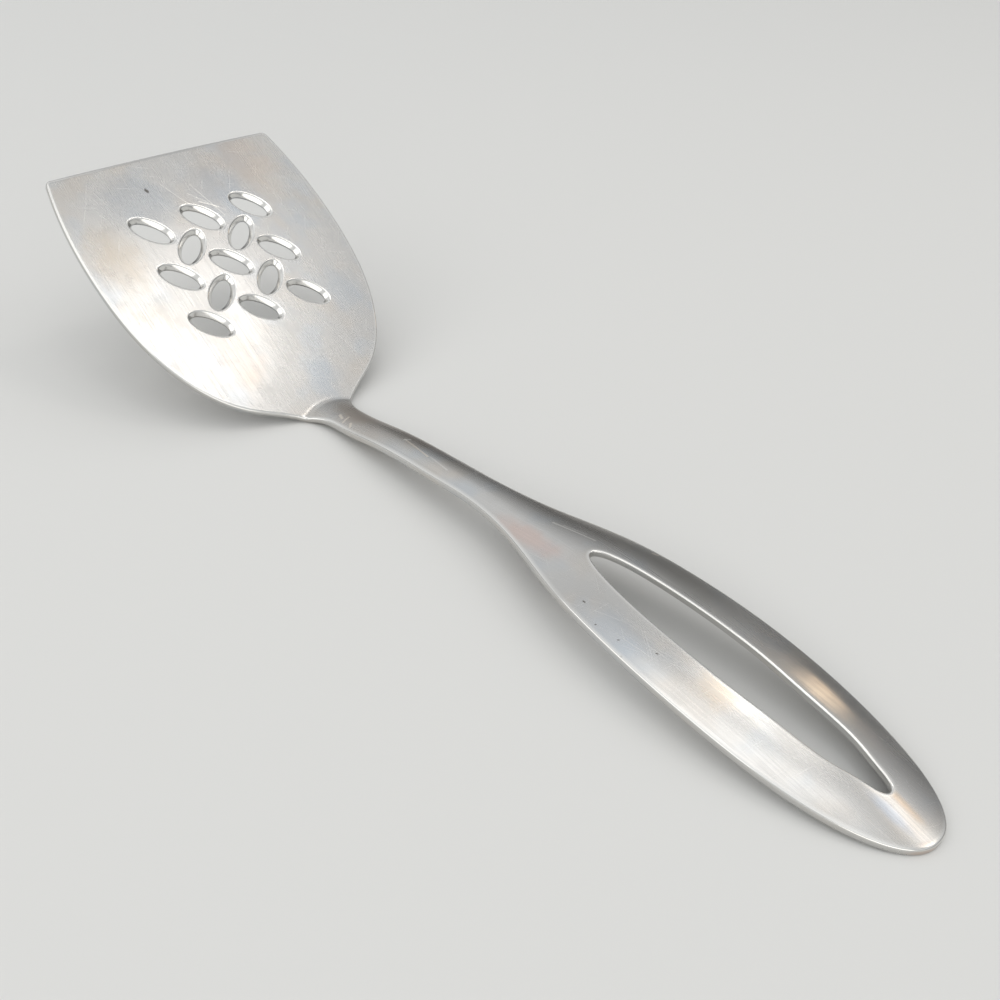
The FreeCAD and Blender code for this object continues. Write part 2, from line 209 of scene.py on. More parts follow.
@dataclass
class FormedSheet:
    """The bent and crowned sheet before it is cut, as heights over the table.

    The bend's slopes are how much the slope changes in it, and its lean is how much
    less that curves the sheet than it would if the bend lay level.
    """

    thickness: float = 1.8
    tilt: float = math.radians(32.0)
    heel_height: float = 3.2
    bend_radius: float = 2.5
    bend_slopes: float = 0.78
    bend_lean: float = 1.08
    station: np.ndarray = field(default_factory=lambda: np.array(
        [-12.0, 0.0, 12.0, 30.0, 50.0, 68.0, 84.7, 104.5, 122.0, 146.0, 170.0, 186.0, 199.2]))
    ridge: np.ndarray = field(default_factory=lambda: np.array(
        [1.04, 2.92, 4.8, 7.93, 10.27, 11.67, 12.72, 13.86, 13.15, 11.28, 8.04, 5.3, 1.7]))
    crown: np.ndarray = field(default_factory=lambda: np.array(
        [23.0, 23.0, 12.0, 12.0, 12.0, 14.3, 20.0, 32.5, 45.0, 50.0, 44.5, 34.5, 34.5]))
    rise_at_bend: float = 0.157
    fall_at_tip: float = -0.273
    lift_rounds: int = 40
    lift_share: float = 0.7

    def height(self, x: np.ndarray, y: np.ndarray, side: Side) -> np.ndarray:
        """Height of one side of the sheet over plan points.

        The crowned band is a circle across, about a centre under its ridge. The blade
        is a plane. The higher of the two counts, and where they are nearly as high a
        parabola joins them, as curved as the inside of the bend.

        Args:
            x: plan X of the points.
            y: plan Y of the points.
            side: the side of the sheet.

        Returns:
            Heights of the points.
        """
        depth = self.thickness if side is Side.LOWER else 0.0
        ridge = spline_through(self.station, self.ridge, self.rise_at_bend, self.fall_at_tip, x)
        crown = spline_through(self.station, self.crown, 0.0, 0.0, x)
        ridge, crown = ridge[:, 0], crown[:, 0]
        band = ridge - crown + np.sqrt(np.maximum((crown - depth) ** 2 - y ** 2, 0.0))
        plane = self.heel_height - x * math.tan(self.tilt) - depth / math.cos(self.tilt)
        reach = self.bend_slopes ** 2 * (self.bend_radius + depth) / (2 * self.bend_lean)
        near = np.maximum(reach - np.abs(plane - band), 0.0)
        return np.maximum(plane, band) + near ** 2 / (4 * reach)

    def on_sheet(self, plan: np.ndarray, side: Side) -> np.ndarray:
        """Plan points lifted on to one side of the sheet."""
        return np.column_stack([plan, self.height(plan[:, 0], plan[:, 1], side)])

    def from_blade(self, points: np.ndarray) -> np.ndarray:
        """Turn distances along, across and above the blade's plane into X, Y and Z.

        Args:
            points: rows of the three distances.

        Returns:
            Points measured from under the bend.
        """
        sine, cosine = math.sin(self.tilt), math.cos(self.tilt)
        along, across, above = points.T
        return np.stack([along * cosine + above * sine, across,
                         self.heel_height - along * sine + above * cosine], axis=1)

    def under_blade_outline(self, outline: np.ndarray, side: Side) -> np.ndarray:
        """Where the wall that stands square on the blade's plane meets one side.

        Each point starts on the plane and moves along the plane's normal until its
        height is the sheet's, by repeated substitution.

        Args:
            outline: points along and across the blade's plane.
            side: the side of the sheet.

        Returns:
            Points in the part's frame.
        """
        above = np.zeros(len(outline))
        for _ in range(self.lift_rounds):
            points = self.from_blade(np.column_stack([outline, above]))
            missing = self.height(points[:, 0], points[:, 1], side) - points[:, 2]
            above = above + missing * self.lift_share
        return self.from_blade(np.column_stack([outline, above]))


@dataclass
class BladeOutline:
    """Outline of the blade and the neck's root in the blade's plane."""

    length: float = 93.65
    half_width: float = 41.1
    front_half_width: float = 37.1
    front_bow: float = 0.7
    corner_radius: float = 1.8
    widest: float = -60.1
    flank: tuple[tuple[float, float], ...] = (
        (-21.7, 34.2), (-6.4, 22.6), (0.7, 11.1), (5.5, 6.25), (10.5, 5.05))
    last: float = 9.4
    step: float = 0.7
    corner_spans: int = 12

    def half(self) -> np.ndarray:
        """Half outline from the middle of the front edge to the neck.

        The front edge and the side are circles. The corner is a circle that touches
        both, about the point as far inside each of them as its own radius.

        Returns:
            Points along and across the blade's plane.
        """
        corner = np.array([self.front_bow - self.length, self.front_half_width])
        bow_radius = (corner[1] ** 2 + self.front_bow ** 2) / (2 * self.front_bow)
        bow_centre = np.array([bow_radius - self.length, 0.0])
        run, drop = self.widest - corner[0], self.half_width - corner[1]
        side_radius = (run ** 2 + drop ** 2) / (2 * drop)
        side_centre = np.array([self.widest, self.half_width - side_radius])
        gap = side_centre - bow_centre
        apart = np.linalg.norm(gap)
        near, far = bow_radius - self.corner_radius, side_radius - self.corner_radius
        along = (apart ** 2 + near ** 2 - far ** 2) / (2 * apart)
        unit = gap / apart
        aside = np.array([-unit[1], unit[0]]) * math.sqrt(near ** 2 - along ** 2)
        middles = [bow_centre + unit * along + aside * sign for sign in (-1, 1)]
        middle = max(middles, key=lambda point: point[1])
        on_front = bow_centre + (middle - bow_centre) * bow_radius / near
        on_side = side_centre + (middle - side_centre) * side_radius / far
        front_start = np.array([-self.length, 0.0])
        widest = np.array([self.widest, self.half_width])
        flank = plan_spline([tuple(widest), *self.flank], (1, 0), (1, 0), self.step)
        return np.concatenate([
            plan_arc(bow_centre, front_start, on_front, int(on_front[1] / self.step)),
            plan_arc(middle, on_front, on_side, self.corner_spans),
            plan_arc(side_centre, on_side, widest, int(run / self.step)),
            flank[flank[:, 0] < self.last],
        ])


@dataclass
class HandleOutline:
    """Outline of the neck and handle in plan, and of the slot through it."""

    start: tuple[float, float] = (12.6, 5.054)
    side: tuple[tuple[float, float], ...] = (
        (62.0, 5.4), (84.7, 8.2), (104.5, 13.9), (122.0, 16.8), (146.0, 18.15))
    tip: float = 199.2
    fullness: float = 2.2
    slot_widest: tuple[float, float] = (146.0, 6.45)
    slot_front: float = 104.6
    slot_front_fullness: float = 2.1
    slot_rear: tuple[tuple[float, float], ...] = (
        (161.3, 5.65), (175.6, 4.45), (182.4, 2.65), (186.8, 0.0))
    step: float = 0.7
    rear_step: float = 0.4375
    tail_spans: int = 90
    slot_front_spans: int = 64

    def half(self) -> np.ndarray:
        """Half outline from the neck's start to the tip of the tail.

        Returns:
            Points in plan.
        """
        neck_end = self.side[0]
        count = int((neck_end[0] - self.start[0]) / self.step)
        share = np.linspace(0, 1, count + 1)[:-1, None]
        neck = np.array(self.start) * (1 - share) + np.array(neck_end) * share
        direction = (neck_end[0] - self.start[0], neck_end[1] - self.start[1])
        return np.concatenate([
            neck,
            plan_spline(self.side, direction, (1, 0), self.step),
            oval_quarter(self.side[-1], self.tip, self.fullness, self.tail_spans),
            [[self.tip, 0.0]],
        ])

    def slot(self) -> np.ndarray:
        """Outline of the slot, with the sheet on the left all the way round.

        Returns:
            Points in plan.
        """
        front = oval_quarter(self.slot_widest, self.slot_front, self.slot_front_fullness,
                             self.slot_front_spans)
        rear = plan_spline([self.slot_widest, *self.slot_rear], (1, 0), (0, -1), self.rear_step)
        half = np.concatenate([[[self.slot_front, 0.0]], front[::-1], rear[1:],
                               [[self.slot_rear[-1][0], 0.0]]])
        return np.concatenate([half, half[-2:0:-1] * [1, -1]])


@dataclass
class DrainHoles:
    """Thirteen oval holes, pressed and countersunk, in the blade's plane."""

    grid_station: float = -51.8
    pitch: float = 17.0
    half_length: float = 5.7
    half_width: float = 2.5
    turn: float = math.radians(45.0)
    sink_width: float = 1.2
    sink_depth: float = 1.3
    thickness: float = 1.8
    lip_radius: float = 0.85
    throat_radius: float = 0.3
    exit_radius: float = 0.18
    lip_margin: float = 0.45
    exit_margin: float = 0.5
    samples: int = 80
    # Polish of each ring of the rim, highest on the lip: smoother steel there, and a lighter
    # colour that is a painted highlight.
    polish_and_highlight: tuple[float, ...] = (
        0.0, 0.35, 0.9, 1.0, 1.0, 1.0, 0.95, 0.9, 0.6, 0.3, 0.1, 0.0, 0.0, 0.0, 0.0, 0.0, 0.0)

    def centres(self) -> list[tuple[float, float, float]]:
        """Places of the holes: a square grid, with four between that lean the other way.

        Returns:
            Station, offset and lean of each hole.
        """
        grid = [(column, row, 1) for column in (-1, 0, 1) for row in (-1, 0, 1)]
        between = [(column, row, -1) for column in (-0.5, 0.5) for row in (-0.5, 0.5)]
        return [(self.grid_station + self.pitch * column, self.pitch * row, self.turn * lean)
                for column, row, lean in grid + between]

    def profile(self) -> np.ndarray:
        """Section of a hole's rim: how far outside the bore, and how high.

        Returns:
            Points of the section from the blade's surface down to its underside.
        """
        lip = round_corner((self.sink_width + 1, 0), (self.sink_width, 0),
                           (0, -self.sink_depth), self.lip_radius, 5)
        throat = round_corner((self.sink_width, 0), (0, -self.sink_depth),
                              (0, -self.thickness), self.throat_radius, 3)
        leave = round_corner((0, -self.sink_depth), (0, -self.thickness),
                             (1, -self.thickness), self.exit_radius, 3)
        start = [[self.sink_width + self.lip_margin, 0.0]]
        cone = (lip[-1] * 0.5 + throat[0] * 0.5)[None]
        end = [[self.exit_margin, -self.thickness]]
        return np.concatenate([start, lip, cone, throat, leave, end])

    def rings(self, sheet: FormedSheet) -> list[np.ndarray]:
        """Rings of points of each hole's rim.

        A ring is an ellipse whose half axes are the bore's plus the section's width.

        Args:
            sheet: the formed sheet.

        Returns:
            The points of each hole, ring by ring.
        """
        section = self.profile()
        angle = -np.linspace(0, 2 * math.pi, self.samples, endpoint=False)
        made = []
        for station, offset, lean in self.centres():
            grown = section[:, :1]
            along = (self.half_length + grown) * np.cos(angle)
            across = (self.half_width + grown) * np.sin(angle)
            x = station + along * math.cos(lean) - across * math.sin(lean)
            y = offset + along * math.sin(lean) + across * math.cos(lean)
            z = np.broadcast_to(section[:, 1:], x.shape)
            points = sheet.from_blade(np.stack([x, y, z], axis=-1).reshape(-1, 3))
            made.append(points.reshape(len(section), self.samples, 3))
        return made


def round_corner(before: Sequence[float], corner: Sequence[float], after: Sequence[float],
                 radius: float, spans: int) -> np.ndarray:
    """Arc of a circle that rounds one corner of a section.

    Args:
        before: a point on the line that leads to the corner.
        corner: the sharp corner.
        after: a point on the line that leads away.
        radius: radius of the arc.
        spans: number of spans in it.

    Returns:
        Points of the arc, both ends included.
    """
    corner = np.array(corner, float)
    back = np.array(before, float) - corner
    forth = np.array(after, float) - corner
    arc = rounded_edge(corner[None], (back / np.linalg.norm(back))[None],
                       (forth / np.linalg.norm(forth))[None], radius, spans)
    return arc[:, 0]


def rounded_edge(corner: np.ndarray, back: np.ndarray, forth: np.ndarray, radius: float,
                 spans: int) -> np.ndarray:
    """Arcs that round a run of corners, each between its own two directions.

    An arc is the rational parabola whose middle control point is the corner, with a
    weight of the cosine of half the turn, which is a true circle.

    Args:
        corner: sharp corners, one row each.
        back: unit directions from the corners back along the section.
        forth: unit directions from the corners on along the section.
        radius: radius of the arcs.
        spans: number of spans in each.

    Returns:
        Rings of points, from the first end of the arcs to the last.
    """
    turn = np.arccos(np.clip((-back * forth).sum(1), -1, 1))[:, None]
    reach = radius * np.tan(turn / 2)
    weight = np.cos(turn / 2)
    start, end = corner + back * reach, corner + forth * reach
    share = np.linspace(0, 1, spans + 1)[:, None, None]
    low, mid, high = (1 - share) ** 2, 2 * weight * share * (1 - share), share ** 2
    return (low * start + mid * corner + high * end) / (low + mid + high)


@dataclass
class Shell:
    """Points and faces of one closed mesh, gathered block by block."""

    bend_place: float
    lift: float = 0.016
    points: list[np.ndarray] = field(default_factory=list)
    polish_and_highlight: list[np.ndarray] = field(default_factory=list)
    faces: list[list[int]] = field(default_factory=list)
    count: int = 0

    def add_points(self, points: np.ndarray, polish_and_highlight: float) -> np.ndarray:
        """Add a block of points with one polish.

        Args:
            points: the points.
            polish_and_highlight: their polish.

        Returns:
            Their numbers in the shell.
        """
        self.points.append(points)
        self.polish_and_highlight.append(np.full(len(points), polish_and_highlight))
        self.count += len(points)
        return np.arange(self.count - len(points), self.count)

    def add_rings(self, rings: Sequence[np.ndarray], polish_and_highlight: Sequence[float]) -> np.ndarray:
        """Add closed rings of points and the quads between each and the next.

        Args:
            rings: rings with the sheet on the left, in order down the section.
            polish_and_highlight: polish of each ring.

        Returns:
            Numbers of the points, one row a ring.
        """
        numbers = np.stack([self.add_points(ring, shine) for ring, shine in zip(rings, polish_and_highlight)])
        ahead = np.roll(numbers, -1, axis=1)
        quads = np.stack([numbers[:-1], numbers[1:], ahead[1:], ahead[:-1]], axis=-1)
        self.faces += quads.reshape(-1, 4).tolist()
        return numbers

    def add_field(self, loops: Sequence[np.ndarray], inner: np.ndarray, side: Side) -> None:
        """Fill one side of the sheet between loops of points that are there already.

        Args:
            loops: numbers of the points of each loop, with the sheet on the left.
            inner: new points between the loops.
            side: the side of the sheet, which sets the way the faces look.
        """
        placed = np.concatenate(self.points)
        numbers = np.concatenate([*loops, self.add_points(inner, 0.0)])
        plan = np.concatenate([placed[np.concatenate(loops)][:, :2], inner[:, :2]])
        starts = np.cumsum([0] + [len(loop) for loop in loops])
        edges = [(first + i, first + (i + 1) % (last - first))
                 for first, last in zip(starts[:-1], starts[1:]) for i in range(last - first)]
        result = delaunay_2d_cdt([Vector(p) for p in plan], edges, [], 1, MERGE_DISTANCE)
        source = np.array([origin[0] for origin in result[3]])
        triangles = source[np.array(result[2])]
        rim_plan, rim_normal = rims_of([plan[a:b] for a, b in zip(starts[:-1], starts[1:])])
        middle = plan[triangles].mean(axis=1)
        triangles = triangles[inside_depth(middle, rim_plan, rim_normal) > 0]
        corners = plan[triangles]
        first, second = corners[:, 1] - corners[:, 0], corners[:, 2] - corners[:, 0]
        upward = first[:, 0] * second[:, 1] - first[:, 1] * second[:, 0] > 0
        turned = upward if side is Side.LOWER else ~upward
        triangles[turned] = triangles[turned][:, ::-1]
        self.faces += numbers[triangles].tolist()

    def to_object(self, name: str) -> bpy.types.Object:
        """Make the mesh object, in metres and smooth.

        Args:
            name: name of the object and its mesh.

        Returns:
            The object, linked to the scene.
        """
        mesh = bpy.data.meshes.new(name)
        placed = np.concatenate(self.points) + [self.bend_place, 0.0, self.lift]
        mesh.from_pydata((placed * MM).tolist(), [], self.faces)
        shine = mesh.attributes.new("polish_and_highlight", "FLOAT", "POINT")
        shine.data.foreach_set("value", np.concatenate(self.polish_and_highlight).astype(np.float32))
        mesh.shade_smooth()
        mesh.update()
        return add_object(name, mesh)


def rims_of(loops: Sequence[np.ndarray]) -> tuple[np.ndarray, np.ndarray]:
    """Plan points of loops and the directions from them into the sheet.

    A direction is the loop's tangent turned a quarter to the left.

    Args:
        loops: closed loops with the sheet on the left.

    Returns:
        The points, and the direction at each.
    """
    normals = []
    for loop in loops:
        tangent = np.roll(loop, -1, axis=0) - np.roll(loop, 1, axis=0)
        tangent /= np.linalg.norm(tangent, axis=1, keepdims=True)
        normals.append(np.stack([-tangent[:, 1], tangent[:, 0]], axis=1))
    return np.concatenate(loops), np.concatenate(normals)


def inside_depth(points: np.ndarray, rim: np.ndarray, normal: np.ndarray) -> np.ndarray:
    """How far plan points lie inside the rim, measured square to its nearest point.

    Args:
        points: plan points.
        rim: plan points of the rim.
        normal: directions from the rim into the sheet.

    Returns:
        Depths, negative outside.
    """
    nearest = np.concatenate([
        ((block[:, None, 0] - rim[None, :, 0]) ** 2
         + (block[:, None, 1] - rim[None, :, 1]) ** 2).argmin(axis=1)
        for block in np.array_split(points, max(len(points) // BLOCK_SIZE, 1))
    ])
    return ((points - rim[nearest]) * normal[nearest]).sum(axis=1)


@dataclass
class Spatula:
    """The one piece of sheet: its two sides, its rounded edges, the slot and holes."""

    sheet: FormedSheet = field(default_factory=FormedSheet)
    blade: BladeOutline = field(default_factory=BladeOutline)
    handle: HandleOutline = field(default_factory=HandleOutline)
    holes: DrainHoles = field(default_factory=DrainHoles)
    edge_radius: float = 0.6
    slot_edge_radius: float = 0.42
    underside_edge_radius: float = 0.3
    bevel_width: float = 1.3
    bevel_depth: float = 0.7
    field_inset: float = 1.45
    blade_spacing: float = 2.4
    band_spacing: float = 1.0
    crease_spacing: float = 0.3
    blade_field: tuple[float, float] = (-82.0, -4.0)
    bend_field: tuple[float, float] = (-4.0, 7.5)
    band_half_span: float = 19.0
    bend_half_span: float = 30.0
    probe: float = 0.05
    edge_probe: float = 0.2
    clear_of_rim: float = 0.5
    edge_spans: tuple[int, int] = (6, 4)
    edge_reach: float = 1.5
    # Polish of each ring of an edge, highest on its rounding: smoother steel there, and a lighter
    # colour that is a painted highlight.
    edge_polish_and_highlight: tuple[float, ...] = (
        0.0, 0.05, 0.35, 0.7, 0.9, 1.0, 1.0, 0.9, 0.7, 0.5, 0.3, 0.3, 0.3, 0.3, 0.2, 0.0, 0.0)

    def outer_walls(self) -> tuple[np.ndarray, np.ndarray]:
        """Sharp upper and lower edge of the outline, with the sheet on the left.

        The blade is cut square to its own plane and the handle upright.

        Returns:
            The upper edge and the lower edge.
        """
        walls = []
        for side in Side:
            half = np.concatenate([
                self.sheet.under_blade_outline(self.blade.half(), side),
                self.sheet.on_sheet(self.handle.half(), side),
            ])
            walls.append(np.concatenate([half[::-1], half[1:-1] * [1, -1, 1]]))
        return walls[0], walls[1]

    def slot_walls(self) -> tuple[np.ndarray, np.ndarray]:
        """Sharp upper and lower edge of the slot, with the sheet on the left."""
        plan = self.handle.slot()
        return self.sheet.on_sheet(plan, Side.UPPER), self.sheet.on_sheet(plan, Side.LOWER)

    def inset(self, edge: np.ndarray, distance: float | np.ndarray, side: Side) -> np.ndarray:
        """Points of one side of the sheet, a distance in from an edge along it.

        Args:
            edge: points of the edge, with the sheet on the left.
            distance: how far in.
            side: the side of the sheet.

        Returns:
            The points.
        """
        plan, normal = rims_of([edge[:, :2]])
        ahead = self.sheet.on_sheet(plan + normal * self.probe, side)
        slope = (ahead[:, 2] - self.sheet.on_sheet(plan, side)[:, 2]) / self.probe
        reach = distance / np.sqrt(1 + slope ** 2)
        return self.sheet.on_sheet(plan + normal * np.reshape(reach, (-1, 1)), side)

    def edge_rings(self, upper: np.ndarray, lower: np.ndarray,
                   top_radius: float) -> list[np.ndarray]:
        """Rings of a rounded edge, from the upper side round the wall to the lower.

        Args:
            upper: sharp upper edge.
            lower: sharp lower edge.
            top_radius: radius of the rounding on the upper edge.

        Returns:
            Rings of points in order down the section.
        """
        wall = lower - upper
        wall /= np.linalg.norm(wall, axis=1, keepdims=True)
        arcs = []
        for edge, side, radius, spans in (
            (upper, Side.UPPER, top_radius, self.edge_spans[0]),
            (lower, Side.LOWER, self.underside_edge_radius, self.edge_spans[1]),
        ):
            along = self.inset(edge, self.edge_probe, side) - edge
            along /= np.linalg.norm(along, axis=1, keepdims=True)
            down = wall if side is Side.UPPER else -wall
            arcs.append(rounded_edge(edge, along, down, radius, spans))
        return [
            self.inset(upper, self.field_inset, Side.UPPER),
            self.inset(upper, self.bevel_width, Side.UPPER),
            self.inset(upper, self.edge_radius * self.edge_reach, Side.UPPER),
            *arcs[0],
            *arcs[1][::-1],
            self.inset(lower, self.edge_radius, Side.LOWER),
            self.inset(lower, self.field_inset, Side.LOWER),
        ]

    def ground(self, points: np.ndarray) -> np.ndarray:
        """Points of the upper side, pushed down to the bevel on the blade's front.

        The bevel is a slanted plane, that falls by its depth over its width.

        Args:
            points: points of the sheet.

        Returns:
            The points, with those above the bevel lowered on to it.
        """
        sine, cosine = math.sin(self.sheet.tilt), math.cos(self.sheet.tilt)
        x, z = points[:, 0], points[:, 2] - self.sheet.heel_height
        along, above = x * cosine - z * sine, x * sine + z * cosine
        into = -along - (self.blade.length - self.bevel_width)
        limit = -into * self.bevel_depth / self.bevel_width
        cut = (into > 0) & (above > limit)
        above = np.where(cut, limit, above)
        return self.sheet.from_blade(np.column_stack([along, points[:, 1], above]))

    def field_points(self, side: Side) -> np.ndarray:
        """Staggered grids of points for one side: blade, band and bend.

        Args:
            side: the side of the sheet.

        Returns:
            Points, also outside the outline.
        """
        across, band, bend = self.blade.half_width, self.band_half_span, self.bend_half_span
        plan = np.concatenate([
            staggered(self.blade_field, (-across, across), self.blade_spacing),
            staggered((self.bend_field[1], self.handle.tip), (-band, band), self.band_spacing),
            staggered(self.bend_field, (-bend, bend), self.band_spacing, self.crease_spacing),
        ])
        return self.sheet.on_sheet(plan, side)

    def bend_place(self) -> float:
        """X of the bend in the frame of the part: the tail's tip ends at its box."""
        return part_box(NODE)[1].x / MM - self.handle.tip

    def build(self) -> bpy.types.Object:
        """Make the whole sheet as one closed mesh.

        Returns:
            The mesh object.
        """
        shell = Shell(self.bend_place())
        loops = {side: [] for side in Side}
        for walls, radius in ((self.outer_walls(), self.edge_radius),
                              (self.slot_walls(), self.slot_edge_radius)):
            rings = [self.ground(ring) for ring in self.edge_rings(*walls, radius)]
            numbers = shell.add_rings(rings, self.edge_polish_and_highlight)
            loops[Side.UPPER].append(numbers[0])
            loops[Side.LOWER].append(numbers[-1])
        for rings in self.holes.rings(self.sheet):
            numbers = shell.add_rings(rings, self.holes.polish_and_highlight)
            loops[Side.UPPER].append(numbers[0])
            loops[Side.LOWER].append(numbers[-1])
        for side in Side:
            placed = np.concatenate(shell.points)
            rim, normal = rims_of([placed[loop][:, :2] for loop in loops[side]])
            inner = self.field_points(side)
            deep = inside_depth(inner[:, :2], rim, normal) > self.clear_of_rim
            shell.add_field(loops[side], inner[deep], side)
        return shell.to_object("spatula_sheet")


def staggered(along: tuple[float, float], across: tuple[float, float], pitch: float,
              row_pitch: float | None = None) -> np.ndarray:
    """Grid of plan points in which every other row stands half a pitch aside.

    Args:
        along: lowest and highest X.
        across: lowest and highest Y.
        pitch: distance between points of a row.
        row_pitch: distance between rows, that of an even triangle if left out.

    Returns:
        Plan points.
    """
    row_pitch = row_pitch or pitch * math.sqrt(0.75)
    x = np.arange(along[0], along[1], row_pitch)
    y = np.arange(across[0], across[1], pitch)
    grid_x, grid_y = np.meshgrid(x, y, indexing="ij")
    grid_y = grid_y + (np.arange(len(x)) % 2)[:, None] * pitch / 2
    return np.stack([grid_x.ravel(), grid_y.ravel()], axis=1)


def add_node(tree: bpy.types.NodeTree, kind: str, inputs: dict | None = None,
             **settings) -> bpy.types.Node:
    """Add a node, set its properties, and fill or link its inputs.

    Args:
        tree: the node tree.
        kind: type name of the node.
        inputs: values or output sockets, by the input's name or number.
        settings: properties of the node.

    Returns:
        The new node.
    """
    node = tree.nodes.new(kind)
    for key, value in settings.items():
        setattr(node, key, value)
    for key, value in (inputs or {}).items():
        socket = node.inputs[key]
        if isinstance(value, Socket):
            tree.links.new(value, socket)
        else:
            socket.default_value = value
    return node


@dataclass(frozen=True)
class Film:
    """What a stained spot, a painted reflection, a scratch or a polished edge with its painted
    highlight does to the steel where it lies.

    The cover is the share of its own colour, rougher is added to the roughness, and
    raised is how far it stands up, in micrometres, less than nothing for a scratch.
    """

    colour: str
    cover: float
    rougher: float = 0.0
    raised: float = 0.0


@dataclass
class SteelSurface:
    """Colour, roughness and height of the steel while its films are laid on it."""

    tree: bpy.types.NodeTree
    place: Socket
    colour: Socket | tuple[float, ...]
    roughness: Socket | float
    height: Socket | float = 0.0

    def noise(self, size: Sequence[float], shift: Sequence[float], detail: float,
              turn: float = 0.0) -> Socket:
        """Noise about a half, in even clouds or drawn out into streaks.

        Args:
            size: size of the noise along X, Y and Z, in millimetres.
            shift: how far the pattern is moved, in its own sizes.
            detail: octaves of finer noise in it.
            turn: direction of the streaks from X, in degrees.

        Returns:
            The socket with the noise.
        """
        place = self.place
        if turn:
            place = add_node(self.tree, "ShaderNodeMapping", {
                "Vector": place, "Rotation": (0, 0, -math.radians(turn))}).outputs[0]
        scale = tuple(1 / length for length in size)
        moved = add_node(self.tree, VECTOR_MATH, {0: place, 1: scale, 2: shift},
                         operation="MULTIPLY_ADD")
        return add_node(self.tree, "ShaderNodeTexNoise", {
            "Vector": moved.outputs[0], "Scale": 1.0, "Detail": detail}).outputs["Fac"]

    def lay(self, film: Film, pattern: Socket, none: float, full: float) -> None:
        """Lay a film over what is there, where a pattern passes from none to full.

        Args:
            film: the film.
            pattern: socket with the pattern.
            none: value of the pattern at which the film begins.
            full: value of the pattern at which it is whole.
        """
        share = add_node(self.tree, "ShaderNodeMapRange", {
            "Value": pattern, "From Min": none, "From Max": full, "To Max": film.cover,
        }, interpolation_type="SMOOTHSTEP").outputs["Result"]
        self.colour = add_node(self.tree, "ShaderNodeMix", {
            0: share, 6: self.colour, 7: linear_colour(film.colour)},
            data_type="RGBA").outputs[2]
        for kind, change in (("roughness", film.rougher), ("height", film.raised)):
            if change:
                setattr(self, kind, add_node(self.tree, MATH, {
                    0: share, 1: change / film.cover, 2: getattr(self, kind)},
                    operation="MULTIPLY_ADD").outputs[0])


@dataclass(frozen=True)
class Cloud:
    """A film in clouds all over the sheet, from no film to the whole of it.

    Size, detail and seed are those of the noise, and none and full are its values
    where the film begins and where it is whole.
    """

    film: Film
    size: float
    detail: float
    seed: float
    none: float
    full: float

    def lay_on(self, surface: SteelSurface) -> None:
        """Lay the clouds on a surface."""
        noise = surface.noise((self.size,) * 3, (self.seed, 0, self.seed), self.detail)
        surface.lay(self.film, noise, self.none, self.full)


@dataclass(frozen=True)
class StainAndPaintedReflection:
    """A soft cloud of colour in an ellipsoid of the sheet: a heat tint, water mark or tarnish, or
    a painted reflection where its comment says so.
    """

    centre: tuple[float, float, float]
    reach: tuple[float, float, float]
    film: Film
    fraying: float = 1.0

    def lay_on(self, surface: SteelSurface, frays: Socket) -> None:
        """Lay the patch of colour, whole in the inner fifth of its reach and none outside it.

        Args:
            surface: the surface to lay it on.
            frays: noise about zero that frays its border.
        """
        tree = surface.tree
        away = add_node(tree, VECTOR_MATH, {0: surface.place, 1: self.centre},
                        operation="SUBTRACT")
        shares = add_node(tree, VECTOR_MATH, {0: away.outputs[0], 1: self.reach},
                          operation="DIVIDE")
        length = add_node(tree, VECTOR_MATH, {0: shares.outputs[0]},
                          operation="LENGTH")
        frayed = add_node(tree, MATH, {
            0: frays, 1: self.fraying, 2: length.outputs["Value"]}, operation="MULTIPLY_ADD")
        surface.lay(self.film, frayed.outputs[0], 1.0, 0.2)


@dataclass(frozen=True)
class Scratch:
    """One scratch or nick, a straight run between two points of the sheet."""

    start: tuple[float, float, float]
    end: tuple[float, float, float]
    width: float
    film: Film
    height_share: float = 0.3

    def lay_on(self, surface: SteelSurface, frays: Socket) -> None:
        """Lay the scratch, by the distance to the nearest point of its run.

        Heights count less, so that the crown of the sheet doesn't break the scratch off.

        Args:
            surface: the surface to lay it on.
            frays: noise about zero that makes it uneven.
        """
        tree = surface.tree
        flat = Vector((1.0, 1.0, self.height_share))
        run = (Vector(self.end) - Vector(self.start)) * flat
        away = add_node(tree, VECTOR_MATH, {
            0: surface.place, 1: flat, 2: -Vector(self.start) * flat},
            operation="MULTIPLY_ADD")
        along = add_node(tree, VECTOR_MATH, {
            0: away.outputs[0], 1: run / run.length_squared}, operation="DOT_PRODUCT")
        held = add_node(tree, "ShaderNodeClamp", {"Value": along.outputs["Value"]})
        foot = add_node(tree, VECTOR_MATH, {
            0: run, "Scale": held.outputs[0]}, operation="SCALE")
        gap = add_node(tree, VECTOR_MATH, {
            0: away.outputs[0], 1: foot.outputs[0]}, operation="DISTANCE")
        uneven = add_node(tree, MATH, {
            0: frays, 1: self.width / 2, 2: gap.outputs["Value"]}, operation="MULTIPLY_ADD")
        surface.lay(self.film, uneven.outputs[0], self.width * 0.7, self.width * 0.2)


BRIGHT = Film("#f1efea", 0.65, raised=-4.0)
FAINT = Film("#e8e6e2", 0.5, raised=-2.0)
DENT = Film("#e6ddd2", 0.65, rougher=0.08, raised=-6.0)
PIT = Film("#4c463f", 0.8, rougher=0.2, raised=-8.0)


